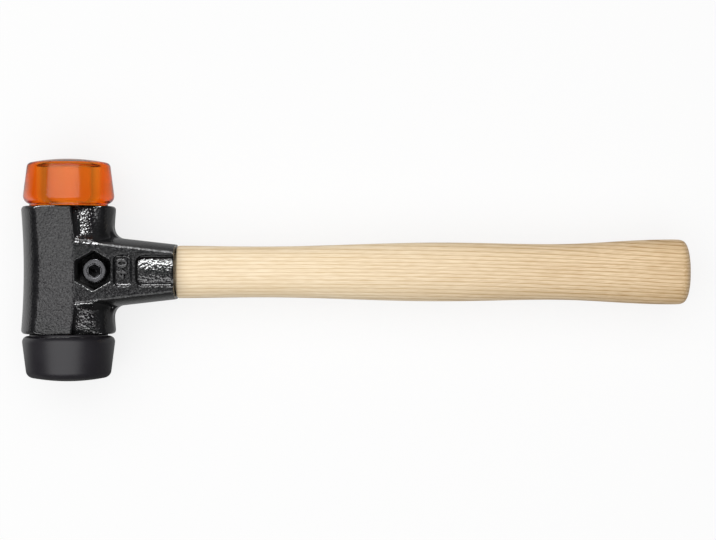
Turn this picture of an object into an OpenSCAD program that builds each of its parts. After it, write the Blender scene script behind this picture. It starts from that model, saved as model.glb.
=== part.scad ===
// Soft face hammer with exchangeable faces, a cast housing in two halves and a hickory handle.
// It lies on its side: +X runs along the handle to its butt, +Y along the head to the hard face,
// +Z up, along the clamp screw. The origin lies on the rear half's flat, under the head's centre.
// Lengths are in millimetres, angles in degrees.

/* [Faces] */
// Diameter of the hard face at its widest ring
hard_face_d = 40; // [36:0.2:41]
// Diameter of the soft face at its widest ring
soft_face_d = 40.8; // [36:0.2:41.4]
// Height of each face above the housing
face_h = 20.9; // [18:0.1:26]
// Height of the hard face's widest ring above the housing
hard_ring_h = 4.5; // [4.2:0.1:6]
// Height of the soft face's widest ring above the housing
soft_ring_h = 3.5; // [3.2:0.1:6]
// Angle by which the side of a face narrows, in degrees
face_draft = 7.3; // [2:0.1:10]
// Radius of the domed striking surface
dome_r = 85; // [60:1:160]
// Radius of the striking edge of the hard face
hard_edge_r = 2.2; // [1:0.1:4]
// Radius of the striking edge of the soft face
soft_edge_r = 3.4; // [1:0.1:5]
// Radius under the widest ring of the hard face
hard_heel_r = 3.6; // [1.5:0.1:3.9]
// Radius under the widest ring of the soft face
soft_heel_r = 2.6; // [1.5:0.1:2.9]
// Diameter of the collar that stands on the housing
collar_d = 34.6; // [31:0.2:35]

/* [Face shank] */
// Diameter of the neck that the lips of the housing grip
shank_d = 21; // [18:0.5:22.5]
// Height of the neck, which is the thickness of the lips
shank_neck_h = 4; // [3:0.1:5]
// Diameter of the flange behind the lips
flange_d = 25.4; // [24:0.2:25.8]
// Height of the flange
flange_h = 5; // [3:0.1:6]

/* [Housing] */
// Length of the housing along the head
head_l = 56.4; // [54:0.2:62]
// Diameter of the housing at its two rims
rim_d = 41.6; // [41.4:0.1:44]
// Diameter of the housing at its waist
waist_d = 39.4; // [38:0.1:41]
// Radius of the rims' outer edges
rim_edge_r = 1.6; // [0.5:0.1:2.4]
// Thickness across the two flats
flats_t = 32; // [30:0.2:35]
// Gap between the two halves when they are clamped
parting_gap = 0.8; // [0.4:0.1:1.4]
// Place along the handle where the full width flat steps down beside the stem
flat_edge_x = 4.4; // [3:0.1:4.4]
// Radius of the two round hollows beside the stem, which end at the barrel's side
hollow_r = 14.4; // [14:0.1:14.8]

/* [Neck] */
// Distance from the head's axis to the end of the neck
neck_reach = 47.6; // [45:0.2:56]
// Width of the neck at its end
neck_end_w = 24.2; // [24:0.1:28]
// Width of the flat on top of the neck at its end
stem_end_w = 17.8; // [17:0.1:19]
// Angle by which each side of the neck narrows, in degrees
neck_taper = 6.5; // [4:0.1:8]
// Height of the band along the neck's sides above the parting plane
band_h = 6; // [4:0.1:7]
// Radius where the neck leaves the barrel
neck_fillet_r = 4.5; // [2:0.1:6]
// Radius along the edges of the stem's flat
stem_edge_r = 1; // [0.4:0.1:1.6]
// Distance of the handle's axis from the middle of the head
handle_drop = 0.85; // [0:0.05:1]

/* [Neck recesses] */
// Length of the number recess along the handle
number_l = 7.6; // [6:0.1:8]
// Width of the number recess
number_w = 13.4; // [11:0.1:14.4]
// Radius of the corners of the number recess
number_corner_r = 2.2; // [1:0.1:2.8]
// Depth of the number recess
number_depth = 1.6; // [0.6:0.1:2.4]
// Thickness of the rib between the screw's pocket and the number recess
rib_t = 1.3; // [1.2:0.1:2]
// Thickness of the rib between the number recess and the open recess
end_rib_t = 2.1; // [1.2:0.1:2.4]
// Width of the open recess at the neck's end
recess_w = 13.6; // [10:0.1:14]
// Radius of the inner corners of the open recess
recess_corner_r = 3.4; // [1:0.1:5]
// Height of the open recess' round floor above the handle's axis
recess_floor_h = 14.4; // [12:0.1:15]

/* [Clamp screw] */
// Distance of the screw from the head's axis
screw_x = 12.7; // [12.4:0.1:12.8]
// Distance of the screw and the recesses from the middle of the head
screw_drop = 0.3; // [0:0.05:1]
// Thread diameter
screw_d = 6; // [5.4:0.1:6.2]
// Length of the screw under its head
screw_l = 16; // [14:0.5:18]
// Diameter of the screw's head
screw_head_d = 10.5; // [9:0.1:10.8]
// Height of the screw's head
screw_head_h = 6; // [4:0.1:7]
// Width across the flats of the hexagon socket
socket_af = 5.2; // [4:0.1:6]
// Depth of the hexagon socket
socket_depth = 3.4; // [2:0.1:4]
// Outside diameter of the lock washer
washer_d = 9.9; // [9:0.1:10]
// Thickness of the lock washer
washer_t = 1.6; // [1:0.1:2]
// Width across the flats of the nut
nut_af = 10; // [9:0.1:10.4]
// Height of the nut
nut_h = 5; // [4:0.1:6]
// Width across the flats of the hexagon pockets
pocket_af = 15.4; // [14:0.1:15.5]
// Height of the floor of the nut's pocket above the parting plane
pocket_floor_h = 6.4; // [6:0.1:8]
// Height of the seats under the washer and the nut above the parting plane
seat_h = 3.4; // [2.6:0.1:4]

/* [Handle] */
// Distance from the head's axis to the end of the butt
handle_reach = 274.7; // [250:0.1:320]
// Height of the handle at its shoulder
shoulder_w = 23.2; // [20:0.1:24]
// Height of the handle at its throat
throat_w = 22.5; // [19:0.1:25]
// Height of the handle at its belly
belly_w = 26; // [22:0.1:30]
// Height of the handle at its waist
waist_w = 24.6; // [20:0.1:28]
// Height of the handle at its butt
butt_w = 28.7; // [24:0.1:33]
// Thickness of the handle at its shoulder
shoulder_t = 19; // [18:0.1:22]
// Thickness of the handle at its throat
throat_t = 18; // [15:0.1:21]
// Thickness of the handle at its belly
belly_t = 20.6; // [17:0.1:24]
// Thickness of the handle at its waist
waist_t = 19.6; // [16:0.1:23]
// Thickness of the handle at its butt
butt_t = 22.6; // [19:0.1:26]
// Length of the rounded butt end
butt_round_l = 9.4; // [5:0.1:16]
// Radius of the shoulder's edge
shoulder_edge_r = 1.2; // [0.5:0.1:2]

/* [Tenon] */
// Distance from the head's axis to the inner end of the tenon
tenon_x = 22.6; // [22.2:0.1:24]
// Diameter of the bulb at the tenon's end
bulb_d = 20.4; // [18:0.1:21]
// Length of the bulb
bulb_l = 8.4; // [6:0.1:10]
// Diameter of the tenon behind its bulb
tenon_d = 16.8; // [14:0.1:17]
// Length of the slope between the bulb and the tenon
bulb_slope_l = 3; // [1.5:0.1:5]
// Thickness across the two flats that keep the tenon from turning
tenon_flats_t = 15; // [13:0.1:16]

/* [Hidden] */
$fn = 96;

// Clearances
clamp_clear = 0.1;
thread_clear = 0.05;
washer_clear = 0.1;
nut_clear = 0.1;
hole_clear = 0.3;
shoulder_clear = 0.3;
// How far a cut runs past the face that it opens
overrun = 1;
// How far the neck's fillets sink into the barrel
fillet_sink = 0.1;

// Chamfers on the fasteners and the faces' flanges
head_chamfer = 0.5;
tip_chamfer = 0.8;
nut_chamfer = 0.5;
flange_chamfer = 0.8;
// Gap where the lock washer is split
washer_split = 1;
washer_split_angle = 60;

// Steps along a rounded edge, the striking dome, the waist, the grip and the butt
edge_steps = 6;
dome_steps = 5;
waist_steps = 14;
grip_steps = 26;
butt_steps = 10;
// Points round the handle, and how square its oval is
oval_points = 36;
oval_power = 2.4;
// Places of the handle's throat, belly, waist and butt along its free length
throat_share = 0.17;
belly_share = 0.537;
waist_share = 0.762;
// How square the butt's rounding is
butt_power = 6;
// How much of the butt's rounding its last flat facet cuts off
butt_cut_share = 0.01;

flat_z = flats_t / 2;
mid_z = flat_z;
half_l = head_l / 2;
rim_r = rim_d / 2;
waist_r = waist_d / 2;
pocket_depth = shank_neck_h + flange_h;
number_x = screw_x + pocket_af / 2 + rib_t;
recess_x = number_x + number_l + end_rib_t;
hollow_x = rim_r - hollow_r;
hole_r = screw_d / 2 + hole_clear;
head_base_h = seat_h + washer_t;
handle_x = neck_reach + shoulder_clear;
butt_x = handle_reach - butt_round_l;

// The waist is one arc from rim to rim
waist_half_l = half_l - rim_edge_r;
waist_rise = rim_r - waist_r;
waist_arc_r = (waist_half_l * waist_half_l + waist_rise * waist_rise) / (2 * waist_rise);
function barrel_r(y) = waist_r + waist_arc_r - sqrt(waist_arc_r * waist_arc_r - y * y);

// Half width of the neck and of its flat, at a distance from the head's axis
function neck_half_w(x) = neck_end_w / 2 + (neck_reach - x) * tan(neck_taper);

function arc(centre, r, from, to, steps) =
    [for (i = [0 : steps]) let (a = from + (to - from) * i / steps)
        centre + r * [cos(a), sin(a)]];

// Smooth step between two values, for the handle's swells
function ease(a, b, t) = a + (b - a) * (1 - cos(180 * t)) / 2;

// Turns a shape that stands on Z so that it runs along the head, or along the handle
module along_head() { rotate([-90, 0, 0]) children(); }
module along_handle() { translate([0, -handle_drop, 0]) rotate([90, 0, 90]) children(); }
module at_screw() { translate([screw_x, -screw_drop, 0]) children(); }
module at_mid() { translate([0, 0, mid_z]) children(); }

// A hexagon with two flats square to the handle
module hexagon(af) { rotate(90) circle(d = af / cos(30), $fn = 6); }

// Faces

// Middle of the arc under the widest ring
function heel_centre(ring, heel_r) = ring - [heel_r, 0];

// The arc runs from the collar, or from right under its middle, to where the side starts
function heel(ring, heel_r) =
    let (c = heel_centre(ring, heel_r))
    arc(c, heel_r, -acos(max(0, (collar_d / 2 - c[0]) / heel_r)), face_draft, edge_steps);

// Middle of the striking edge's arc, which touches the narrowing side and the dome
function edge_centre(ring, heel_r, edge_r) =
    let (out = [cos(face_draft), sin(face_draft)],
         along = [-out[1], out[0]],
         base = heel_centre(ring, heel_r) + (heel_r - edge_r) * out,
         off = base - [0, face_h - dome_r],
         reach = off * along)
    base + (sqrt(reach * reach - off * off + pow(dome_r - edge_r, 2)) - reach) * along;

function striking_outline(ring, heel_r, edge_r) =
    let (c = edge_centre(ring, heel_r, edge_r),
         dome_c = [0, face_h - dome_r],
         touch = atan2(c[1] - dome_c[1], c[0]))
    concat(arc(c, edge_r, face_draft, touch, edge_steps),
           arc(dome_c, dome_r, touch + (90 - touch) / dome_steps, 90, dome_steps - 1));

// Half section of a face: shank in the housing, collar on its rim, heel, side and dome
function face_outline(ring, heel_r, edge_r) =
    let (neck_r = shank_d / 2, flange_r = flange_d / 2, collar_r = collar_d / 2,
         under = heel(ring, heel_r))
    concat([[0, -pocket_depth], [flange_r - flange_chamfer, -pocket_depth],
            [flange_r, -pocket_depth + flange_chamfer], [flange_r, -shank_neck_h],
            [neck_r, -shank_neck_h], [neck_r, clamp_clear], [collar_r, clamp_clear]],
           heel_centre(ring, heel_r)[0] > collar_r ? [[collar_r, under[0][1]]] : [],
           under, striking_outline(ring, heel_r, edge_r));

module face(face_d, ring_h, heel_r, edge_r) {
    translate([0, half_l, 0]) along_head() rotate_extrude()
        polygon(face_outline([face_d / 2, ring_h], heel_r, edge_r));
}

module hard_face() {
    color("darkorange") at_mid() face(hard_face_d, hard_ring_h, hard_heel_r, hard_edge_r);
}

module soft_face() {
    color([0.15, 0.15, 0.16]) at_mid() mirror([0, 1, 0])
        face(soft_face_d, soft_ring_h, soft_heel_r, soft_edge_r);
}

// Housing

// The waisted barrel round both shanks
module barrel() {
    edge_c = [rim_r - rim_edge_r, waist_half_l];
    flank = [for (i = [1 - waist_steps : waist_steps - 1]) let (y = waist_half_l * i / waist_steps)
        [barrel_r(y), y]];
    along_head() rotate_extrude() polygon(concat(
        [[0, -half_l]], arc([edge_c[0], -edge_c[1]], rim_edge_r, -90, 0, edge_steps), flank,
        arc(edge_c, rim_edge_r, 0, 90, edge_steps), [[0, half_l]]));
}

// What is left of the barrel: its side with the flat, and the round hollows beside the stem
module barrel_form() {
    intersection() {
        barrel();
        union() {
            translate([-rim_r, -half_l, 0]) cube([rim_r + flat_edge_x, head_l, flat_z]);
            translate([hollow_x, -half_l, 0]) along_head() cylinder(r = hollow_r, h = head_l);
        }
    }
}

// What is cut off one side of the neck, so that it leans in above the band to the stem's flat
module neck_lean() {
    lean = (neck_end_w - stem_end_w) / 2;
    slope = atan2(flat_z - band_h, lean);
    // The stem's edge is an arc that touches its flat and its leaning wall
    edge_c = [-lean - stem_edge_r * tan(slope / 2), flat_z - stem_edge_r];
    reach = 2 * neck_reach;
    translate([neck_reach, neck_end_w / 2, 0]) rotate(-neck_taper) translate([-reach, 0, 0])
        rotate([90, 0, 90]) linear_extrude(reach + neck_end_w)
            polygon(concat([[overrun, flat_z + overrun], [overrun, band_h], [0, band_h]],
                           arc(edge_c, stem_edge_r, 90 - slope, 90, edge_steps),
                           [[edge_c[0], flat_z + overrun]]));
}

// A low fillet between the barrel and one side of the neck, as high as the band
module neck_fillet() {
    wall_x = barrel_r(neck_half_w(rim_r) + neck_fillet_r) - fillet_sink;
    centre_x = wall_x + neck_fillet_r;
    centre_y = neck_half_w(centre_x) + neck_fillet_r / cos(neck_taper);
    touch = [centre_x, centre_y] - neck_fillet_r * [sin(neck_taper), cos(neck_taper)];
    inner_x = wall_x - band_h;
    inner_y = touch[1] - band_h;
    linear_extrude(band_h) difference() {
        polygon([[inner_x, inner_y], [touch[0], inner_y], touch, [centre_x, centre_y],
                 [inner_x, centre_y]]);
        translate([centre_x, centre_y]) circle(r = neck_fillet_r);
    }
}

module neck_form() {
    root_w = 2 * neck_half_w(0);
    translate([0, -handle_drop, 0]) {
        difference() {
            linear_extrude(flat_z) polygon([
                [0, -root_w / 2], [neck_reach, -neck_end_w / 2],
                [neck_reach, neck_end_w / 2], [0, root_w / 2]]);
            neck_lean();
            mirror([0, 1, 0]) neck_lean();
        }
        neck_fillet();
        mirror([0, 1, 0]) neck_fillet();
    }
}

// Space for one face's shank, open at the rim
module shank_space() {
    neck_r = shank_d / 2 + clamp_clear;
    flange_r = flange_d / 2 + clamp_clear;
    along_head() {
        translate([0, 0, half_l - pocket_depth - clamp_clear])
            cylinder(r = flange_r, h = flange_h + 2 * clamp_clear);
        translate([0, 0, half_l - shank_neck_h - clamp_clear])
            cylinder(r = neck_r, h = shank_neck_h + overrun);
    }
}

// The tenon: a turned bulb on a straight neck, with two flats
module tenon(clear, end_x) {
    bulb_r = bulb_d / 2 + clear;
    neck_r = tenon_d / 2 + clear;
    start = tenon_x - clear;
    bulb_end = tenon_x + bulb_l;
    neck_start = bulb_end + bulb_slope_l;
    intersection() {
        along_handle() rotate_extrude() polygon([
            [0, start], [bulb_r, start], [bulb_r, bulb_end], [neck_r, neck_start],
            [neck_r, end_x], [0, end_x]]);
        translate([0, -half_l, -tenon_flats_t / 2 - clear])
            cube([end_x, head_l, tenon_flats_t + 2 * clear]);
    }
}

// The pocket for the screw's head or the nut, over the hole for the screw
module screw_space(floor_h) {
    at_screw() {
        cylinder(r = hole_r, h = flat_z);
        translate([0, 0, seat_h]) linear_extrude(flat_z) hexagon(nut_af + 2 * nut_clear);
        translate([0, 0, floor_h]) linear_extrude(flat_z) hexagon(pocket_af);
    }
}

// A rectangle that starts on Y and has rounded corners
module rounded(l, w, r) {
    side = w / 2 - r;
    for (x = [r, l - r], y = [-side, side])
        translate([x, y]) circle(r = r);
    translate([r, -w / 2]) square([l - 2 * r, w]);
    translate([0, -side]) square([l, 2 * side]);
}

// The recess for the size number
module number_recess() {
    translate([number_x, -screw_drop, flat_z - number_depth]) linear_extrude(flat_z)
        rounded(number_l, number_w, number_corner_r);
}

// The recess that opens at the neck's end, over a round floor
module open_recess() {
    length = neck_reach - recess_x + recess_corner_r + overrun;
    difference() {
        translate([recess_x, -screw_drop, 0]) linear_extrude(flat_z + overrun)
            rounded(length, recess_w, recess_corner_r);
        along_handle() cylinder(r = recess_floor_h, h = recess_x + length + overrun);
    }
}

// The front half. The rear half is its mirror image, with a higher floor round its nut
module housing_half(floor_h) {
    difference() {
        union() {
            barrel_form();
            neck_form();
        }
        translate([-rim_d, -head_l, -flats_t])
            cube([rim_d + handle_reach, 2 * head_l, flats_t + parting_gap / 2]);
        shank_space();
        mirror([0, 1, 0]) shank_space();
        tenon(clamp_clear, neck_reach + overrun);
        screw_space(floor_h);
        number_recess();
        open_recess();
    }
}

module front_housing() { color([0.2, 0.2, 0.21]) at_mid() housing_half(seat_h); }

module rear_housing() { color([0.2, 0.2, 0.21]) at_mid() mirror([0, 0, 1]) housing_half(pocket_floor_h); }

// Handle

// The handle's swells, as distance from the head's axis, height and thickness
grip_l = butt_x - handle_x;
swells = [
    [handle_x, shoulder_w, shoulder_t],
    [handle_x + throat_share * grip_l, throat_w, throat_t],
    [handle_x + belly_share * grip_l, belly_w, belly_t],
    [handle_x + waist_share * grip_l, waist_w, waist_t],
    [butt_x, butt_w, butt_t]];

// Height and thickness at a distance from the head's axis, eased from swell to swell
function swell_at(x, i = 0) =
    x <= swells[i + 1][0] || i + 2 == len(swells)
        ? let (a = swells[i], b = swells[i + 1], t = (x - a[0]) / (b[0] - a[0]))
            [ease(a[1], b[1], t), ease(a[2], b[2], t)]
        : swell_at(x, i + 1);

function signed_power(v, p) = sign(v) * pow(abs(v), p);

// One ring of the handle's oval section
function oval(x, size) = [for (i = [0 : oval_points - 1]) let (a = 360 * i / oval_points)
    [x, size[0] / 2 * signed_power(cos(a), 2 / oval_power),
        size[1] / 2 * signed_power(sin(a), 2 / oval_power)]];

function shoulder_ring(i) = let (a = 90 * i / edge_steps, r = shoulder_edge_r)
    oval(handle_x + r * (1 - cos(a)), swell_at(handle_x) - 2 * r * (1 - sin(a)) * [1, 1]);

function grip_ring(i) =
    let (x = handle_x + shoulder_edge_r + (grip_l - shoulder_edge_r) * i / grip_steps)
    oval(x, swell_at(x));

function butt_ring(i) = let (u = (1 - butt_cut_share) * sin(90 * i / butt_steps))
    oval(butt_x + u * butt_round_l, sqrt(1 - pow(u, butt_power)) * [butt_w, butt_t]);

handle_rings = concat([for (i = [0 : edge_steps - 1]) shoulder_ring(i)],
                      [for (i = [0 : grip_steps]) grip_ring(i)],
                      [for (i = [1 : butt_steps]) butt_ring(i)]);

// A closed skin over rings of equal numbers of points
module skin(rings) {
    n = len(rings[0]);
    last = len(rings) - 1;
    sides = [for (k = [0 : last - 1], i = [0 : n - 1]) let (j = (i + 1) % n)
        [k * n + i, (k + 1) * n + i, (k + 1) * n + j, k * n + j]];
    ends = [[for (i = [0 : n - 1]) i], [for (i = [n - 1 : -1 : 0]) last * n + i]];
    polyhedron([for (ring = rings) each ring], concat(sides, ends));
}

module handle() {
    color("burlywood") at_mid() {
        translate([0, -handle_drop, 0]) skin(handle_rings);
        tenon(0, handle_x + bulb_l);
    }
}

// Fasteners

module clamp_screw() {
    head_r = screw_head_d / 2;
    shaft_r = screw_d / 2;
    color([0.3, 0.3, 0.32]) at_mid() at_screw() translate([0, 0, head_base_h]) difference() {
        rotate_extrude() polygon([
            [0, -screw_l], [shaft_r - tip_chamfer, -screw_l], [shaft_r, -screw_l + tip_chamfer],
            [shaft_r, 0], [head_r, 0], [head_r, screw_head_h - head_chamfer],
            [head_r - head_chamfer, screw_head_h], [0, screw_head_h]]);
        translate([0, 0, screw_head_h - socket_depth]) linear_extrude(socket_depth + overrun)
            hexagon(socket_af);
    }
}

module lock_washer() {
    color("dimgray") at_mid() at_screw() translate([0, 0, seat_h]) difference() {
        cylinder(d = washer_d, h = washer_t);
        translate([0, 0, -overrun])
            cylinder(r = screw_d / 2 + washer_clear, h = washer_t + 2 * overrun);
        rotate(washer_split_angle) translate([0, -washer_split / 2, -overrun])
            cube([washer_d, washer_split, washer_t + 2 * overrun]);
    }
}

module clamp_nut() {
    corner_r = nut_af / 2 / cos(30);
    color("dimgray") at_mid() at_screw() translate([0, 0, -seat_h - nut_h]) difference() {
        intersection() {
            linear_extrude(nut_h) hexagon(nut_af);
            rotate_extrude() polygon([
                [0, 0], [corner_r - nut_chamfer, 0], [corner_r, nut_chamfer],
                [corner_r, nut_h - nut_chamfer], [corner_r - nut_chamfer, nut_h], [0, nut_h]]);
        }
        translate([0, 0, -overrun])
            cylinder(r = screw_d / 2 + thread_clear, h = nut_h + 2 * overrun);
    }
}

rear_housing();
front_housing();
hard_face();
soft_face();
handle();
clamp_screw();
lock_washer();
clamp_nut();
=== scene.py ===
# %% [markdown]
# # A soft face hammer, dressed piece by piece
# One cap screw clamps the two halves of a cast iron housing round three pieces that can be exchanged:
# an orange hard face, a black rubber face and a hickory handle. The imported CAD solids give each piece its
# place and size. Every step below models one piece over its solid, gives it a finish, and lets it move
# with the body that the solid belongs to.

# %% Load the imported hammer
import math

import bmesh
import bpy
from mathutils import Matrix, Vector


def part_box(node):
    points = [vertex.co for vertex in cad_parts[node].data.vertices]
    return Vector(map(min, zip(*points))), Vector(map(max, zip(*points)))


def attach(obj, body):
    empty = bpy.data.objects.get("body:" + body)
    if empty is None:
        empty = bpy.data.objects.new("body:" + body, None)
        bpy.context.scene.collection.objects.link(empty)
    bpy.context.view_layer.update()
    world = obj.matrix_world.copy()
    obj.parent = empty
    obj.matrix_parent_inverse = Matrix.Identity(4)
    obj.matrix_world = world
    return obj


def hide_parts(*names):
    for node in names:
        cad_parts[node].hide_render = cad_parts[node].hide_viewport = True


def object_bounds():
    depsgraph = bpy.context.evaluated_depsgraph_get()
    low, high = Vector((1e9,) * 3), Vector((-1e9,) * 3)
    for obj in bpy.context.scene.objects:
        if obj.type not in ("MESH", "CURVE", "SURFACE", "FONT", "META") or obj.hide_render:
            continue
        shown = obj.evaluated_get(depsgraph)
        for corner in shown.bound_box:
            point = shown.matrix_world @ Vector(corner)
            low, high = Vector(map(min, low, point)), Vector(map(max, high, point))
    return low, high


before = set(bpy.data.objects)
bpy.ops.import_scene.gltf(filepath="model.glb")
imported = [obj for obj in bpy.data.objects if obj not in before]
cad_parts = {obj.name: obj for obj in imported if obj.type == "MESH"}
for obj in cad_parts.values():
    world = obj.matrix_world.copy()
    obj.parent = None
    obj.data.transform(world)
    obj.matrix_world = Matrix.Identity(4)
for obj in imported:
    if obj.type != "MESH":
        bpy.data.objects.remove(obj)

cad_low, cad_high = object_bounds()
print("CAD box, mm:", [round(1000 * c, 1) for c in (*cad_low, *cad_high)])

# %% [markdown]
# The solids say where things are. The middle plane, where the halves part, lies midway between the two
# flats of the housing. The head runs along Y at X = 0, the handle runs along X, a little under the middle
# of the head, and the screw stands along Z. Lengths of pieces are written in millimetres, as on a drawing,
# and those of the studio in metres.

# %% Places read from the solids
MM = 0.001
front_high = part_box("front_housing")[1]
rear_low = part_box("rear_housing")[0]
screw_low, screw_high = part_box("clamp_screw")
nut_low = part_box("clamp_nut")[0]
washer_low, washer_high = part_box("lock_washer")
handle_low, handle_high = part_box("handle")
middle_z = (rear_low.z + front_high.z) / 2
rim_y = front_high.y
screw_axis = (screw_low + screw_high) / 2
handle_y = (handle_low.y + handle_high.y) / 2
print("middle plane at", round(middle_z / MM, 2), "mm, rims at", round(rim_y / MM, 2), "mm")

# %% [markdown]
# The picture is taken from straight above with a long lens, as for a catalogue. A camera that isn't
# turned looks down already, with Y upwards in the picture. Its height is the distance at which the sides
# of the tall faces lean outwards as little as they do in the picture.

# %% Camera
camera_height = 900 * MM
picture_x = 127.95 * MM
bpy.ops.object.select_all(action="DESELECT")
bpy.ops.object.camera_add(location=(picture_x, 0, middle_z + camera_height), rotation=(0, 0, 0))
camera = bpy.context.object
camera.name = "overhead_camera"
camera.data.sensor_width = 36
camera.data.lens = 102.3
bpy.context.scene.camera = camera
bpy.context.scene.view_settings.view_transform = "Standard"
print("camera", [round(c, 3) for c in camera.location], "lens", camera.data.lens)

# %% [markdown]
# Finishes are made of shader nodes. One helper adds a node, sets its properties, and either sets or links
# its inputs, so that a finish reads from top to bottom. Colours are written as seen on a screen and are
# turned to the linear values that the shaders need.

# %% Helpers for finishes


def linear(code):
    parts = [int(code[i:i + 2], 16) / 255 for i in (1, 3, 5)]
    return (*[c / 12.92 if c <= 0.04045 else ((c + 0.055) / 1.055) ** 2.4 for c in parts], 1)


def add(tree, kind, settings=None, inputs=None):
    node = tree.nodes.new("ShaderNode" + kind)
    for name, value in (settings or {}).items():
        setattr(node, name, value)
    for name, value in (inputs or {}).items():
        if isinstance(value, bpy.types.NodeSocket):
            tree.links.new(value, node.inputs[name])
        else:
            node.inputs[name].default_value = value
    return node


def start_finish(name):
    finish = bpy.data.materials.new(name)
    finish.use_nodes = True
    finish.node_tree.nodes.clear()
    return finish, finish.node_tree


print("black lacquer in linear light:", [round(c, 4) for c in linear("#0b0b0c")])

# %% [markdown]
# Five kinds of node come back in the finishes, so each has a helper that gives its result: a reckoning with
# values, a change of range, a cloudy pattern with lumps of a given size in millimetres, a blend of two
# colours, and a bump of a given depth in millimetres.

# %% Helpers for the usual nodes


def reckon(tree, operation, *values, clamp=False):
    settings = {"operation": operation, "use_clamp": clamp}
    return add(tree, "Math", settings, dict(enumerate(values))).outputs[0]


def remap(tree, value, span, result):
    names = ("From Min", "From Max", "To Min", "To Max")
    limits = dict(zip(names, (*span, *result)))
    return add(tree, "MapRange", None, {"Value": value, **limits}).outputs["Result"]


def noise(tree, place, size, detail, roughness=0.5):
    inputs = {"Vector": place, "Scale": 1000 / size, "Detail": detail, "Roughness": roughness}
    return add(tree, "TexNoise", None, inputs).outputs["Fac"]


def tones(tree, value, *stops):
    blend = add(tree, "ValToRGB", None, {"Fac": value})
    for element, (position, code) in zip(blend.color_ramp.elements, stops):
        element.position = position
        element.color = linear(code)
    return blend.outputs["Color"]


def bump(tree, height, strength, depth, **others):
    inputs = {"Strength": strength, "Distance": depth * MM, "Height": height, **others}
    return add(tree, "Bump", None, inputs).outputs[0]


# %% [markdown]
# The hammer lies on white paper under one large soft box. The black lacquer shows what stands round it:
# its upright sides mirror the white paper, its rounded edges mirror the dim room, and its flats mirror the
# soft box. So the room stays dim, and the paper is white to the camera and in reflections while its
# diffuse part keeps the shadow. Its brightness in reflections is a painted reflection: it ends a hand's
# breadth left of the head, is narrow, and has a painted shadow close to the casting, but not close to the
# plastic, where painted light keeps it bright. Through the orange drum the paper gets a painted shade
# where the rays are bent far away from it, in place of the light that the drum would gather under its
# axis. Each of these is a range of places, in metres, that is turned into a range of brightness.

# %% Paper floor and dim room
bpy.ops.object.select_all(action="DESELECT")
bpy.ops.mesh.primitive_plane_add(size=12, location=(picture_x, 0, cad_low.z))
paper = bpy.context.object
paper.name = "paper_floor"
bpy.ops.object.transform_apply(location=True, rotation=True, scale=True)

room = bpy.data.worlds.new("dim_room")
room.use_nodes = True
room.node_tree.nodes["Background"].inputs["Color"].default_value = (1, 1, 1, 1)
room.node_tree.nodes["Background"].inputs["Strength"].default_value = 0.1
bpy.context.scene.world = room
print("paper at", round(cad_low.z / MM, 2), "mm")

# %% Finish: white paper, with painted reflections and shade
paper_finish, tree = start_finish("white_paper")
seen = add(tree, "LightPath").outputs
place = add(tree, "TexCoord").outputs["Object"]
across = add(tree, "SeparateXYZ", None, {"Vector": place}).outputs
off_x = reckon(tree, "ABSOLUTE", across["X"])
off_y = reckon(tree, "ABSOLUTE", across["Y"])
# Painted reflection: how bright the paper is in reflections. It fades to the left and beside the neck, has a
# painted shadow close to the casting, and has painted light beside the plastic drum.
to_left = remap(tree, across["X"], (-0.25, -0.11), (0.05, 1.0))
to_side = remap(tree, off_y, (0.036, 0.052), (1.0, 0.3))
painted_shadow_by_casting = remap(tree, across["X"], (-0.055, -0.02), (1.0, 0.45))
sheet_light = reckon(tree, "MULTIPLY", reckon(tree, "MULTIPLY", to_left, to_side), painted_shadow_by_casting)
painted_light_across_drum = remap(tree, off_x, (0.033, 0.042), (0.45, 0.0))
by_drum = reckon(tree, "GREATER_THAN", across["Y"], 0.03)
painted_light_by_drum = reckon(tree, "MULTIPLY", painted_light_across_drum, by_drum)
mirror_light = reckon(tree, "MAXIMUM", sheet_light, painted_light_by_drum)
mirrored = reckon(tree, "SUBTRACT", seen["Is Glossy Ray"], seen["Is Transmission Ray"], clamp=True)
painted_mirror_shade = reckon(tree, "MULTIPLY", mirrored, reckon(tree, "SUBTRACT", 1.0, mirror_light))
# Painted shade seen through the drum: the paper darkens away from the spot under it, in place of the light
# that the drum would gather there.
drum_middle = (0, 0.038, cad_low.z)
under_drum = add(tree, "VectorMath", {"operation": "DISTANCE"}, {0: place, 1: drum_middle})
painted_caustic_shade = remap(tree, under_drum.outputs["Value"], (0.016, 0.05), (0.0, 0.5))
painted_shade_through_drum = reckon(tree, "MULTIPLY", painted_caustic_shade, seen["Is Transmission Ray"])
white = reckon(tree, "SUBTRACT", 1.0, reckon(tree, "ADD", painted_mirror_shade, painted_shade_through_drum))
by_lens = reckon(tree, "MAXIMUM", seen["Is Camera Ray"], seen["Is Transmission Ray"])
lens_share = 0.8
glow_share = reckon(tree, "MAXIMUM", reckon(tree, "MULTIPLY", by_lens, lens_share), mirrored)
matt = add(tree, "BsdfDiffuse", None, {"Color": linear("#f4f4f4")})
glow = add(tree, "Emission", None, {"Color": (1, 1, 1, 1), "Strength": white})
both = add(tree, "MixShader", None, {0: glow_share, 1: matt.outputs[0], 2: glow.outputs[0]})
add(tree, "OutputMaterial", None, {"Surface": both.outputs[0]})
paper.data.materials.append(paper_finish)
print(paper_finish.name, "made of", len(tree.nodes), "nodes")

# %% [markdown]
# The soft box hangs above, a little to the left. The black casting needs its own light to show its grain:
# a small box in the same place, and a long bright strip on each side for the sharp glints on edges. The far
# strip hangs to the left of the head, so that only edges that lean that way catch it. A last lamp lifts the
# far edge of the handle. A photographer keeps such lamps apart with black cards. Here light linking does
# that: one collection holds the pieces that the narrow lamps reach, one the same pieces, which the soft box
# leaves out, and one the wood.

# %% Lamps
dark_pieces = bpy.data.collections.new("dark_pieces")
pale_pieces = bpy.data.collections.new("all_but_dark_pieces")
wood_pieces = bpy.data.collections.new("wood_pieces")


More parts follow.
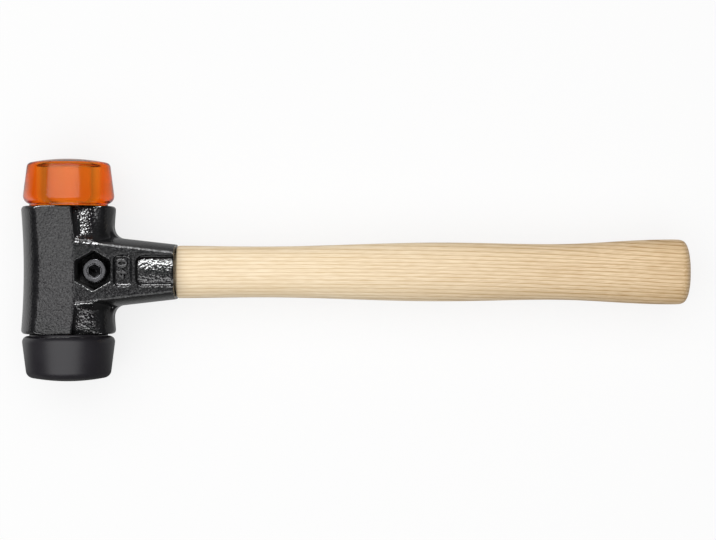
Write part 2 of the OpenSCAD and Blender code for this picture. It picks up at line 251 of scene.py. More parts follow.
def hang_lamp(name, place, aim, size, watts, reaches):
    bpy.ops.object.select_all(action="DESELECT")
    bpy.ops.object.light_add(type="AREA", location=place)
    lamp = bpy.context.object
    lamp.name = name
    lamp.data.shape = "RECTANGLE"
    lamp.data.size, lamp.data.size_y = size
    lamp.data.energy = watts
    lamp.light_linking.receiver_collection = reaches
    lamp.rotation_euler = (Vector(aim) - Vector(place)).to_track_quat("-Z", "Y").to_euler()
    return lamp


head_place = (0.01, 0, middle_z)
box_place = (-0.136, 0, 1.21)
left_place, grip_place = (-0.4, 0, middle_z), (0.16, 0, middle_z)
lamps = [
    hang_lamp("soft_box", box_place, head_place, (2.5, 2.2), 30, pale_pieces),
    hang_lamp("narrow_box", box_place, head_place, (0.25, 0.28), 0.66, dark_pieces),
    hang_lamp("far_strip", (-0.4, 0.7, 0.92), left_place, (1.25, 0.3), 56, dark_pieces),
    hang_lamp("near_strip", (-0.1, -0.7, 0.92), head_place, (1.8, 0.3), 15, dark_pieces),
    hang_lamp("grip_fill", (0.16, 1.1, 0.5), grip_place, (1.2, 0.6), 2.6, wood_pieces),
]
print("lamps:", [lamp.name for lamp in lamps])

# %% [markdown]
# Most pieces are modelled in the same three moves: start with nothing selected, work in edit mode on
# vertices picked by their place, and leave edit mode. These helpers keep those moves short.

# %% Helpers for modelling


def start_fresh():
    if bpy.context.object and bpy.context.object.mode != "OBJECT":
        bpy.ops.object.mode_set(mode="OBJECT")
    bpy.ops.object.select_all(action="DESELECT")


def pick(test):
    mesh = bmesh.from_edit_mesh(bpy.context.object.data)
    for vert in mesh.verts:
        vert.select = bool(test(vert.co))
    mesh.select_flush(True)
    mesh.select_flush(False)
    bmesh.update_edit_mesh(bpy.context.object.data)


def settle():
    bpy.ops.object.mode_set(mode="OBJECT")
    bpy.ops.object.transform_apply(location=True, rotation=True, scale=True)


def finish_piece(piece, node, body, slot, finish, angle=35):
    settle()
    bpy.ops.object.shade_smooth_by_angle(angle=math.radians(angle))
    piece.data.materials.clear()
    piece.data.materials.append(finish)
    if node:
        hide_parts(node)
    if slot in ("cast_housing", "black_steel"):
        dark_pieces.objects.link(piece)
        pale_pieces.objects.link(piece)
        pale_pieces.collection_objects[-1].light_linking.link_state = "EXCLUDE"
    if slot == "hickory":
        wood_pieces.objects.link(piece)
    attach(piece, body)
    print(piece.name, "has", len(piece.data.polygons), "faces")


# %% [markdown]
# Black lacquer on cast iron. The flats and the rounded sides are filled and smooth, with the faint skin
# of sprayed paint. The stem, the pockets and the recesses keep the grain of the sand mould under the
# paint, which breaks the light into specks. An attribute of the mesh, cast_skin, says where the grain is,
# and another, dull_paint, where little paint has gone in, as in the pocket of the screw.
# The real sand grain is near half a millimetre, so it is drawn a little coarser to show at this size.

# %% Finish: lacquered casting
lacquer, tree = start_finish("lacquered_cast_iron")
place = add(tree, "TexCoord").outputs["Object"]
skin = add(tree, "Attribute", {"attribute_name": "cast_skin"}).outputs["Fac"]
sand_share, pit_size = 0.6, 1.05
sand = noise(tree, place, 0.75, 0.0)
pits = add(tree, "TexVoronoi", {"feature": "F1"}, {"Vector": place, "Scale": 1000 / pit_size})
grain = reckon(tree, "MULTIPLY_ADD", sand, sand_share, pits.outputs["Distance"])
sand_bump = bump(tree, reckon(tree, "MULTIPLY", grain, skin), 1.0, 0.16)
spray = noise(tree, place, 0.8, 0.0)
spray_bump = bump(tree, spray, 0.6, 0.05, Normal=sand_bump)
dust = noise(tree, place, 6, 4.0)
tone = tones(tree, dust, (0.35, "#060607"), (0.7, "#0b0b0c"))
gloss = remap(tree, spray, (0.3, 0.7), (0.13, 0.27))
dull = add(tree, "Attribute", {"attribute_name": "dull_paint"}).outputs["Fac"]
dull_share = 0.5
dull_gloss = reckon(tree, "MULTIPLY_ADD", dull, dull_share, gloss, clamp=True)
paint = add(tree, "BsdfPrincipled", None,
            {"Base Color": tone, "Roughness": dull_gloss, "Normal": spray_bump})
add(tree, "OutputMaterial", None, {"Surface": paint.outputs[0]})
print(lacquer.name, "made of", len(tree.nodes), "nodes")

# %% [markdown]
# A sand casting has no sharp edge: every corner is rounded by the mould. Bevelling each edge of the solid
# by hand would miss the corners where pockets meet. So the half is copied, its loose triangles are merged,
# a voxel remesh gives it an even skin, and a few rounds of smoothing melt the edges as the mould does.

# %% Copy a half and melt its edges
merge_gap, voxel, melt_factor, edge_rounds = 0.002, 0.4, 0.5, 3


def cast_half(node, name):
    start_fresh()
    half = bpy.data.objects.new(name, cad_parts[node].data.copy())
    bpy.context.scene.collection.objects.link(half)
    bpy.context.view_layer.objects.active = half
    half.select_set(True)
    bpy.ops.object.mode_set(mode="EDIT")
    bpy.ops.mesh.select_all(action="SELECT")
    bpy.ops.mesh.remove_doubles(threshold=merge_gap * MM)
    bpy.ops.object.mode_set(mode="OBJECT")
    even = half.modifiers.new("even_skin", "REMESH")
    even.mode = "VOXEL"
    even.voxel_size = voxel * MM
    bpy.ops.object.modifier_apply(modifier=even.name)
    melt = half.modifiers.new("melted_edges", "SMOOTH")
    melt.factor = melt_factor
    melt.iterations = edge_rounds
    bpy.ops.object.modifier_apply(modifier=melt.name)
    return half


front_casting = cast_half("front_housing", "front_casting")
print("front half:", len(front_casting.data.polygons), "faces after the remesh")

# %% [markdown]
# The solid has the main shape of a half. Some places of the real casting are softer, and the even skin lets
# them be pushed like clay. To say where a vertex lies, it is measured from the parting plane, from the
# handle's axis, and from the leaning side of the stem. A soft step between two numbers then gives a weight
# from nought to one, so that each change fades out at its edges.

# %% Where a vertex lies on a half
flat_h, band_h = 16.0, 6
flat_edge_x = 4.4
neck_reach, stem_end_half = 47.6, 8.9
neck_taper, stem_lean = math.radians(6.5), 0.32


def step(low, high, value):
    t = min(1, max(0, (value - low) / (high - low)))
    return t * t * (3 - 2 * t)


def place_on_half(co):
    return co.x / MM, (co.y - handle_y) / MM, abs(co.z - middle_z) / MM


def stem_half(x):
    return stem_end_half + (neck_reach - x) * math.tan(neck_taper)


def off_stem(x, y, h):
    return abs(y) - stem_half(x) - stem_lean * (flat_h - h)


print("stem half as wide as", round(stem_half(20), 2), "mm at 20 mm from the head's axis")

# %% [markdown]
# The step beside the stem slants a little, and the hollows fall away towards the rims, so that the pattern
# leaves the sand. The hollows run into the stem and the step in a wide curve, and the sides of the neck
# bulge a little.

# %% Slants, hollows and bulges
step_shift, step_slant, step_y = 0.6, 0.12, 14.9
hollow_x, hollow_edge = 6.4, (13.2, 13.8)
step_fillet, stem_fillet, fillet_power = 3.0, 3.4, 1.7
hollow_fall, fall_y = 0.2, 15
neck_bulge = 0.45


def fillet(distance, length):
    return (1 - min(1, max(0, distance / length))) ** fillet_power


def push_like_clay(half):
    side = 1 if half.data.vertices[0].co.z > middle_z else -1
    for vert in half.data.vertices:
        x, y, h = place_on_half(vert.co)
        from_stem, from_step = off_stem(x, y, h), x - flat_edge_x
        on_step = (1 - step(1.0, 3.0, abs(from_step))) * step(10, 12, h) * step(0.2, 1.2, from_stem)
        vert.co.x += on_step * (step_shift - step_slant * (abs(y) - step_y)) * MM
        on_hollow = step(*hollow_edge, math.hypot(x - hollow_x, h)) * (1 - step(12, 17, x))
        on_hollow *= step(-0.3, 0.1, from_stem) * step(-0.3, 0.1, from_step)
        lift = max(fillet(from_step, step_fillet), fillet(from_stem, stem_fillet)) * (flat_h - h)
        fall = hollow_fall * max(0, abs(y) - fall_y)
        vert.co.z += side * on_hollow * (lift - fall) * MM
        u = (flat_h - h) / (flat_h - band_h)
        on_side = (1 - step(0.6, 1.6, abs(from_stem))) * step(14, 20, x) * (0 < u < 1)
        vert.co.y += math.copysign(1, y) * on_side * neck_bulge * 4 * u * (1 - u) * MM


push_like_clay(front_casting)
print("pushed", len(front_casting.data.vertices), "vertices")

# %% [markdown]
# The flat rolls over into the barrel along its left edge, the corners of the hollows are melted further,
# and the root of the neck sweeps into the barrel. Smoothing does this, held to its place by weights. The
# root takes many more rounds than the corners.

# %% Rolled edges and the sweep of the neck
waist_r, waist_arc_r = 19.7, 322.0
corner_rounds, root_rounds = 16, 150


def melt_at(co):
    x, y, h = place_on_half(co)
    roll_x = -math.sqrt((waist_r + y * y / (2 * waist_arc_r)) ** 2 - flat_h ** 2)
    roll = (1 - step(2.2, 4.2, abs(x - roll_x))) * step(8, 10, h)
    from_stem, from_step = off_stem(x, y, h), x - flat_edge_x
    in_hollow = step(-0.4, 0.2, from_stem) * step(-0.4, 0.2, from_step) * (1 - step(17, 20, x))
    corner = max(1 - step(1.0, 3.2, from_stem), 1 - step(1.0, 3.2, from_step))
    return max(roll, in_hollow * corner * (1 - step(flat_h - 1.2, flat_h - 0.5, h)))


def root_at(co):
    x, y, h = place_on_half(co)
    from_stem = off_stem(x, y, h)
    beside = step(0, 1, from_stem) * (1 - step(4, 7, from_stem))
    return beside * step(14, 17, x) * (1 - step(24, 28, x)) * step(2, 4.5, h) * (1 - step(12, 14.5, h))


def melt_softer(half):
    for name, weight_at, rounds in (("softer", melt_at, corner_rounds), ("neck_root", root_at, root_rounds)):
        group = half.vertex_groups.new(name=name)
        for vert in half.data.vertices:
            weight = weight_at(vert.co)
            if weight > 0:
                group.add([vert.index], weight, "REPLACE")
        melt = half.modifiers.new(name, "SMOOTH")
        melt.vertex_group = group.name
        melt.factor = melt_factor
        melt.iterations = rounds
        bpy.ops.object.modifier_apply(modifier=melt.name)


melt_softer(front_casting)
print("weights on the half:", [group.name for group in front_casting.vertex_groups])

# %% [markdown]
# The grain of the mould stays only where the real casting is left rough: right of the flat that carries
# no grain, on the stem, round the screw's pocket, in the recesses and in the hollows beside the neck. The
# leaning sides of the neck are smooth again, and everywhere else a trace of grain is left. The pocket of
# the screw is dull, and so, less, are the edges of the neck. Each weight comes from the vertex's place.

# %% Where the casting is rough
least_rough, stem_rough, coarse_more = 0.2, 0.82, 0.25
edge_dull = 0.6


def roughness_at(co):
    x, y, h = place_on_half(co)
    right = step(2.5, 6.0, x)
    beside_stem = step(0.1, 0.6, abs(y) - stem_half(x))
    smooth_side = step(11.5, 14.5, x)
    coarse = max(beside_stem, step(31, 32, x) * step(0.3, 0.8, flat_h - h))
    rough = right * (1 - beside_stem * smooth_side) * (stem_rough + coarse_more * coarse)
    return max(least_rough, rough)


def dullness_at(co):
    x, y, h = place_on_half(co)
    from_edge = abs(y) - stem_half(x)
    along_pocket = step(3, 4, x) * (1 - step(20.9, 21.5, x))
    in_pocket = along_pocket * (1 - step(-2, -1, from_edge)) * step(0.5, 1.2, flat_h - h)
    on_edge = step(13, 19, x) * (1 - step(0.6, 1.1, abs(from_edge)))
    return max(in_pocket, edge_dull * on_edge)


def mark_rough(half):
    weights = [roughness_at(vert.co) for vert in half.data.vertices]
    skin = half.data.attributes.new("cast_skin", "FLOAT", "POINT")
    skin.data.foreach_set("value", weights)
    dull = half.data.attributes.new("dull_paint", "FLOAT", "POINT")
    dull.data.foreach_set("value", [dullness_at(vert.co) for vert in half.data.vertices])
    group = half.vertex_groups.new(name="lumpy")
    for index, weight in enumerate(weights):
        group.add([index], min(1, weight), "REPLACE")
    return sum(1 for w in weights if w > 0.5)


print("rough vertices:", mark_rough(front_casting))

# %% [markdown]
# The largest lumps of the mould are modelled, because they change the edges of the pockets as well as the
# shading: a displacement by a cloud pattern, held back by the same weights, moves the skin by a fraction
# of a millimetre.

# %% Lumps of the mould
mould_lumps = bpy.data.textures.new("mould_lumps", "CLOUDS")
mould_lumps.noise_scale = 1.6 * MM
mould_lumps.noise_depth = 1
lump_height = 0.14


def add_lumps(half):
    lumps = half.modifiers.new("mould_lumps", "DISPLACE")
    lumps.texture = mould_lumps
    lumps.texture_coords = "LOCAL"
    lumps.vertex_group = "lumpy"
    lumps.mid_level = 0.5
    lumps.strength = lump_height * MM
    bpy.ops.object.modifier_apply(modifier=lumps.name)


add_lumps(front_casting)
finish_piece(front_casting, "front_housing", "front_half", "cast_housing", lacquer, angle=60)

# %% [markdown]
# The rear half comes out of the same pattern, so it goes through the same five moves. Only its solid
# differs: its pocket holds the nut instead of the screw's head.

# %% The rear half, made in the same way
rear_casting = cast_half("rear_housing", "rear_casting")
push_like_clay(rear_casting)
melt_softer(rear_casting)
mark_rough(rear_casting)
add_lumps(rear_casting)
finish_piece(rear_casting, "rear_housing", "rear_half", "cast_housing", lacquer, angle=60)

# %% [markdown]
# The size of the hammer, 40 for its 40 mm faces, stands raised in the round-ended recess of the neck and
# reads along the head. Plain figures are set as text, thickened, rounded, turned into a mesh, stretched to
# their size, and only then laid in their place.

# %% Raised size number
number_x, number_y, recess_depth = 25.5, 0.8, 1.6
number_lift, number_wide, number_tall = 0.65, 9.0, 4.7
number_skin = 0.05
recess_floor = Vector((number_x * MM, screw_axis.y + number_y * MM, front_high.z - recess_depth * MM))
start_fresh()
bpy.ops.object.text_add(location=(0, 0, 0))
size_number = bpy.context.object
size_number.name = "size_number"
size_number.data.body = "40"
size_number.data.align_x = "CENTER"
size_number.data.align_y = "CENTER"
size_number.data.size = 6.6 * MM
size_number.data.space_character = 1.2
size_number.data.offset = 0.02 * MM
size_number.data.extrude = 0.55 * MM
size_number.data.bevel_depth = 0.15 * MM
size_number.data.bevel_resolution = 3
bpy.ops.object.convert(target="MESH")
drawn = size_number.dimensions
size_number.scale = (number_wide * MM / drawn.x, number_tall * MM / drawn.y, 1)
size_number.rotation_euler = (0, 0, math.radians(90))
size_number.location = recess_floor + Vector((0, 0, number_lift * MM))
bpy.ops.object.transform_apply(location=True, rotation=True, scale=True)
figures = size_number.data.attributes.new("cast_skin", "FLOAT", "POINT")
figures.data.foreach_set("value", [number_skin] * len(size_number.data.vertices))
finish_piece(size_number, None, "front_half", "cast_housing", lacquer)

# %% [markdown]
# The two faces, the screw and the nut are turned on a lathe or moulded round, so each is drawn as half an
# outline and spun. The outline starts as a plane that is merged to one vertex, which is then extruded from
# point to point. Spinning leaves doubled vertices on the axis, so they are merged and the normals made to
# point outwards.

# %% Helpers for round pieces
out_x, up_z = (1, 0, 0), (0, 0, 1)
spin_gap = 0.005 * MM


def arc(centre, r, start, end, steps):
    angles = [math.radians(start + (end - start) * i / steps) for i in range(steps + 1)]
    return [(centre[0] + r * math.cos(a), centre[1] + r * math.sin(a)) for a in angles]


def draw_outline(name, points):
    start_fresh()
    bpy.ops.mesh.primitive_plane_add(size=MM, location=points[0])
    piece = bpy.context.object
    piece.name = name
    bpy.ops.object.mode_set(mode="EDIT")
    bpy.ops.mesh.select_all(action="SELECT")
    bpy.ops.mesh.merge(type="CENTER")
    for here, there in zip(points, points[1:]):
        bpy.ops.mesh.extrude_vertices_move(TRANSFORM_OT_translate={"value": there - here})
    return piece


def spin_outline(name, outline, origin, out, along, steps):
    points = [Vector(origin) + MM * (r * Vector(out) + h * Vector(along)) for r, h in outline]
    piece = draw_outline(name, points)
    bpy.ops.mesh.select_all(action="SELECT")
    bpy.ops.mesh.spin(steps=steps, angle=2 * math.pi, center=origin, axis=along)
    bpy.ops.mesh.select_all(action="SELECT")
    bpy.ops.mesh.remove_doubles(threshold=spin_gap)
    bpy.ops.mesh.normals_make_consistent(inside=False)
    return piece


print("an arc of four steps:", [tuple(round(c, 2) for c in p) for p in arc((0, 0), 1, 0, 90, 4)])

# %% [markdown]
# Each face is a drum that narrows towards a slightly domed striking end. Under its widest ring the heel
# curves in to a collar that sits on the housing's rim, and a neck and a flange go into the housing. The
# rounded striking edge has to touch both the leaning side and the dome, so its middle is worked out.

# %% Outline of a face
face_h, face_draft, dome_r = 20.9, 7.3, 85
collar_r, neck_r, flange_r = 17.3, 10.5, 12.7
shank_l, flange_under, flange_cut = 9, 4, 0.8
collar_low, collar_cut = 0.1, 0.3
face_steps = 128


def face_outline(ring_r, ring_h, heel_r, edge_r, bore=()):
    lean = math.radians(face_draft)
    out = Vector((math.cos(lean), math.sin(lean)))
    up = Vector((-math.sin(lean), math.cos(lean)))
    heel_c = Vector((ring_r - heel_r, ring_h))
    dome_c = Vector((0, face_h - dome_r))
    base = heel_c + (heel_r - edge_r) * out
    reach = (base - dome_c).dot(up)
    off = (base - dome_c).length_squared
    edge_c = base + (math.sqrt(reach ** 2 - off + (dome_r - edge_r) ** 2) - reach) * up
    touch = math.degrees(math.atan2(edge_c.y - dome_c.y, edge_c.x))
    heel_start = -math.degrees(math.acos(max(0, (collar_r - heel_c.x) / heel_r)))
    under = arc(heel_c, heel_r, heel_start, face_draft, 14)
    flange = [(flange_r - flange_cut, -shank_l), (flange_r, flange_cut - shank_l), (flange_r, -flange_under)]
    shank = [*(bore or [(0, -shank_l)]), *flange, (neck_r, -flange_under), (neck_r, collar_low)]
    collar = [(collar_r - collar_cut, collar_low), (collar_r, collar_low + collar_cut)]
    if under[0][0] > collar_r + 0.01:
        collar.append((collar_r, under[0][1]))
    side = arc(edge_c, edge_r, face_draft, touch, 14)
    dome = arc(dome_c, dome_r, touch, 90, 16)[1:-1] + [(0, face_h)]
    return shank + collar + under + side + dome


hard_sizes, soft_sizes = (20, 4.5, 3.6, 2.2), (20.4, 3.5, 2.6, 3.4)
print("hard face outline:", len(face_outline(*hard_sizes)), "points")

# %% [markdown]
# The hard face is cast from clear orange cellulose plastic. Light goes in, loses its blue and most of its
# green to the dye on its way, and comes out again, so a painted orange would look dead. The finish lets
# all light through a slightly rough skin, with the faint flow marks of the moulding, and the volume inside
# absorbs it. The longer the way, the deeper the orange.

# %% Finish: orange plastic
amber, tree = start_finish("clear_orange_plastic")
place = add(tree, "TexCoord").outputs["Object"]
flow = noise(tree, place, 9, 3.0)
hue = tones(tree, flow, (0.3, "#f8cd90"), (0.75, "#fcd69e"))
ripple = bump(tree, noise(tree, place, 1.5, 2.0), 0.25, 0.02)
resin = add(tree, "BsdfPrincipled", None, {"Base Color": hue, "Roughness": 0.15, "IOR": 1.47,
                                           "Transmission Weight": 1.0, "Normal": ripple})
dye = add(tree, "VolumeAbsorption", None, {"Color": (0.97, 0.665, 0.03, 1), "Density": 150.0})
add(tree, "OutputMaterial", None, {"Surface": resin.outputs[0], "Volume": dye.outputs[0]})
print(amber.name, "made of", len(tree.nodes), "nodes")

# %% [markdown]
# Through the plastic an inner edge can be seen near the striking end. It is taken for the end of a blind
# bore that opens into the housing, as a moulding of even wall would have. That is a guess, and the solid
# has no such bore. The outline of the face starts with it, so one spin makes the outside and the inside.

# %% Hard face
bore_r, bore_end, bore_corner = 9.8, 17.0, 0.7
corner_place = (bore_r - bore_corner, bore_end - bore_corner)
blind_bore = [(0, bore_end), *arc(corner_place, bore_corner, 90, 0, 6), (bore_r, -shank_l)]
hard_outline = face_outline(*hard_sizes, blind_bore)
hard_place, hard_way = (0, rim_y, middle_z), (0, 1, 0)
hard_face = spin_outline("hard_face_amber", hard_outline, hard_place, out_x, hard_way, face_steps)
finish_piece(hard_face, "hard_face", "rear_half", "hard_plastic", amber)

# %% [markdown]
# The soft face is black rubber: a dull gloss, a grey veil from the mould release, and a fine even grain of
# the mould that spreads the light of the soft box into a broad band. It is the same drum, pointing the
# other way, a little wider and with a rounder striking edge.

# %% Finish: black rubber
rubber, tree = start_finish("black_rubber")
place = add(tree, "TexCoord").outputs["Object"]
veil = noise(tree, place, 11, 5.0, 0.6)
veil_tone = tones(tree, veil, (0.3, "#1e1c21"), (0.75, "#252328"))
mould_bump = bump(tree, noise(tree, place, 0.5, 2.0), 0.5, 0.02)
dull = remap(tree, veil, (0, 1), (0.34, 0.44))
gum = add(tree, "BsdfPrincipled", None, {"Base Color": veil_tone, "Roughness": dull, "Normal": mould_bump})
add(tree, "OutputMaterial", None, {"Surface": gum.outputs[0]})
print(rubber.name, "made of", len(tree.nodes), "nodes")

# %% Soft face
soft_outline = face_outline(*soft_sizes)
soft_place, soft_way = (0, -rim_y, middle_z), (0, -1, 0)
soft_face = spin_outline("soft_face_rubber", soft_outline, soft_place, out_x, soft_way, face_steps)
finish_piece(soft_face, "soft_face", "rear_half", "soft_rubber", rubber)

# %% [markdown]
# The clamp screw is a black oxidised socket head cap screw. Heat blackening leaves a thin dark skin on
# bare steel, so the metal still shines through: a dark metal with fine marks from turning.

# %% Finish: blackened steel
black_steel, tree = start_finish("blackened_steel")
place = add(tree, "TexCoord").outputs["Object"]
oil = noise(tree, place, 2.5, 4.0)
oxide = tones(tree, oil, (0.35, "#454547"), (0.7, "#555557"))
marks_bump = bump(tree, noise(tree, place, 0.3, 2.0), 0.4, 0.01)
oxide_gloss = remap(tree, oil, (0, 1), (0.2, 0.32))
steel = add(tree, "BsdfPrincipled", None, {"Base Color": oxide, "Metallic": 1.0, "Roughness": oxide_gloss,
                                           "Normal": marks_bump})
add(tree, "OutputMaterial", None, {"Surface": steel.outputs[0]})
print(black_steel.name, "made of", len(tree.nodes), "nodes")

# %% [markdown]
# The head of the screw is knurled so that fingers can turn it. It is spun with two steps to each tooth, and
# every second line of its side is then drawn inwards. The hexagon for the key is cut later with a six-sided
# cutter, and the bore below it ends in the cone of the drill.

# %% Knurled screw head
head_r, head_h, head_base = 5.25, 6.0, washer_high.z
shank_r, dish, teeth, tooth_shrink = 3.0, 0.25, 44, 0.955
head_outline = [(shank_r, 0), (5.0, 0), (head_r, 0.25), (head_r, 5.2), *arc((4.75, 5.5), 0.5, 15, 90, 5),
                *arc((3.4, 5.75), 0.25, 90, 135, 4), (3.06, head_h - dish), (0, head_h - dish)]
screw_place = (screw_axis.x, screw_axis.y, head_base)
cap_screw = spin_outline("cap_screw", head_outline, screw_place, out_x, up_z, 2 * teeth)


def on_knurl(co):
    side = Vector((co.x - screw_axis.x, co.y - screw_axis.y))
    tooth = math.degrees(math.atan2(side.y, side.x)) * teeth / 360
    low, high = head_base + 0.2 * MM, head_base + 5.3 * MM
    return side.length > (head_r - 0.05) * MM and low < co.z < high and abs(tooth - round(tooth)) < 0.25


pick(on_knurl)
bpy.ops.transform.resize(value=(tooth_shrink, tooth_shrink, 1), center_override=screw_place)
settle()
print("screw head:", len(cap_screw.data.polygons), "faces")

# %% [markdown]
# The thread is a real helix: one tooth of the M6 profile, drawn as a short outline, that a Screw modifier
# winds upwards by one millimetre a turn.

# %% Screw thread
thread_turns, thread_start, tip_z = 10, 0.9, screw_low.z
root_r, crest_r, pitch, thread_steps = 2.5, 2.96, 1.0, 40
tooth = [(root_r, 0.0), (root_r, 0.12), (crest_r, 0.42), (crest_r, 0.58), (root_r, 0.88), (root_r, pitch)]
thread_foot = Vector((screw_axis.x, screw_axis.y, tip_z + thread_start * MM))
tooth_points = [thread_foot + MM * Vector((r, 0, h)) for r, h in tooth]
thread = draw_outline("screw_thread", tooth_points)
settle()
bpy.context.scene.cursor.location = screw_place
bpy.ops.object.origin_set(type="ORIGIN_CURSOR")
helix = thread.modifiers.new("helix", "SCREW")
helix.axis = "Z"
helix.angle = 2 * math.pi
helix.screw_offset = pitch * MM
helix.iterations = thread_turns
helix.steps = thread_steps
helix.render_steps = thread_steps
helix.use_merge_vertices = True
helix.merge_threshold = 0.003 * MM
bpy.ops.object.modifier_apply(modifier=helix.name)
settle()
print("thread:", len(thread.data.polygons), "faces in", thread_turns, "turns")

# %% [markdown]
# A core closes the shaft: a plain bar just wider than the root of the thread, a shank under the head, and
# a chamfered tip. The cutter for the key is a six-sided bar that tapers to a point at its lower end, where
# the drill went first.

# %% Screw core and key cutter
core_r = 2.56
core_outline = [(0, 0), (2.2, 0), (core_r, 0.5), (core_r, 10.6), (shank_r, 11.2), (shank_r, 16.3), (0, 16.3)]
core = spin_outline("screw_core", core_outline, (screw_axis.x, screw_axis.y, tip_z), out_x, up_z, 48)
settle()
key_half, key_l, drill_l = 2.6, 6.8, 2.2
key_r = key_half / math.cos(math.pi / 6)
start_fresh()
bpy.ops.mesh.primitive_cylinder_add(vertices=6, radius=key_r * MM, depth=key_l * MM,
                                    location=(screw_axis.x, screw_axis.y, head_base + head_h * MM))
key_cutter = bpy.context.object
settle()
bpy.ops.object.mode_set(mode="EDIT")
socket_floor = head_base + (head_h - key_l / 2) * MM
pick(lambda co: co.z < socket_floor + 0.1 * MM)
bpy.ops.mesh.extrude_region_move(TRANSFORM_OT_translate={"value": (0, 0, -drill_l * MM)})
bpy.ops.transform.resize(value=(0.05, 0.05, 1), center_override=(screw_axis.x, screw_axis.y, socket_floor))
bpy.ops.object.mode_set(mode="OBJECT")
print("socket", round((head_base - socket_floor) / MM + head_h, 2), "mm deep")

# %% [markdown]
# The head is still open underneath, so its rim is filled first, because only a closed solid can be cut
# cleanly. The socket is then cut out, and head, thread and core are joined into one screw.

# %% Socket and join
start_fresh()
bpy.context.view_layer.objects.active = cap_screw
cap_screw.select_set(True)
bpy.ops.object.mode_set(mode="EDIT")
bpy.ops.mesh.select_all(action="SELECT")
bpy.ops.mesh.region_to_loop()
bpy.ops.mesh.edge_face_add()
bpy.ops.mesh.select_all(action="SELECT")
bpy.ops.mesh.normals_make_consistent(inside=False)
bpy.ops.object.mode_set(mode="OBJECT")


def cut_with(piece, cutter, operation):
    cut = piece.modifiers.new("cut", "BOOLEAN")
    cut.operation = operation
    cut.solver = "EXACT"
    cut.object = cutter
    bpy.ops.object.modifier_apply(modifier=cut.name)
    bpy.data.objects.remove(cutter)


cut_with(cap_screw, key_cutter, "DIFFERENCE")
thread.select_set(True)
core.select_set(True)
bpy.ops.object.join()
finish_piece(cap_screw, "clamp_screw", "screw", "black_steel", black_steel, angle=30)

# %% [markdown]
# The spring washer is a bar of square section, wound once and cut, with its ends a little apart. A small
# square is spun not quite all the way round, and its edges are rounded by a bevel.

# %% Spring washer
washer_mid_r, bar_w, bar_t, bar_mid_h = 4.02, 1.78, 1.5, 0.8
wound_angle, washer_steps = math.radians(346), 60
bar_place = (screw_axis.x + washer_mid_r * MM, screw_axis.y, washer_low.z + bar_mid_h * MM)
washer_place = (screw_axis.x, screw_axis.y, washer_low.z)
start_fresh()
bpy.ops.mesh.primitive_plane_add(size=1, location=bar_place, rotation=(math.radians(90), 0, 0))
spring_washer = bpy.context.object
spring_washer.name = "spring_washer"
bpy.ops.object.mode_set(mode="EDIT")
bpy.ops.mesh.select_all(action="SELECT")
bpy.ops.transform.resize(value=(bar_w * MM, 1, bar_t * MM))
bpy.ops.mesh.spin(steps=washer_steps, angle=wound_angle, center=washer_place, axis=up_z)
bpy.ops.mesh.select_all(action="SELECT")
bpy.ops.mesh.remove_doubles(threshold=spin_gap)
bpy.ops.mesh.normals_make_consistent(inside=False)
settle()
edge = spring_washer.modifiers.new("broken_edges", "BEVEL")
edge.width = 0.12 * MM
edge.segments = 2
edge.limit_method = "ANGLE"
edge.angle_limit = math.radians(40)
bpy.ops.object.modifier_apply(modifier=edge.name)
finish_piece(spring_washer, "lock_washer", "front_half", "black_steel", black_steel, angle=30)

# %% [markdown]
# The nut starts as a six-sided bar. Both of its ends are turned to a cone at thirty degrees, which leaves
# the curved corners of a real nut, so the bar is cut by a spun double cone, and a bore with countersunk
# ends goes through it.

# %% Hexagon nut
nut_h, nut_half, turned_r, turned_h = 5.0, 5.0, 4.85, 0.66
clear_r, bore_half, sunk_h, sunk_r, overrun = 6.0, 3.05, 0.55, 4.6, 1
nut_place = (screw_axis.x, screw_axis.y, nut_low.z)
turned = [(0, 0), (turned_r, 0), (clear_r, turned_h), (clear_r, nut_h - turned_h), (turned_r, nut_h),
          (0, nut_h)]
bored = [(0, -overrun), (sunk_r, -overrun), (bore_half, sunk_h), (bore_half, nut_h - sunk_h),
         (sunk_r, nut_h + overrun), (0, nut_h + overrun)]
cone = spin_outline("nut_turning", turned, nut_place, out_x, up_z, 96)
settle()
bore = spin_outline("nut_bore", bored, nut_place, out_x, up_z, 64)
settle()
start_fresh()
nut_corner = nut_half / math.cos(math.pi / 6)
bpy.ops.mesh.primitive_cylinder_add(vertices=6, radius=nut_corner * MM, depth=nut_h * MM,
                                    location=(screw_axis.x, screw_axis.y, nut_low.z + nut_h / 2 * MM))
hexagon_nut = bpy.context.object
hexagon_nut.name = "hexagon_nut"
settle()
cut_with(hexagon_nut, cone, "INTERSECT")
cut_with(hexagon_nut, bore, "DIFFERENCE")
finish_piece(hexagon_nut, "clamp_nut", "rear_half", "black_steel", black_steel, angle=25)

# %% [markdown]
# Hickory is ring porous: each year starts with a row of wide pores, which shows as a darker line, and goes
# on with dense pale wood. In this handle the rings stand upright and run along the grip, a little over one
# and a half millimetres apart, and drop towards the butt. So the pattern is a saw-toothed wave across the
# handle. The place that it is read from is bent along the handle and wanders a little.

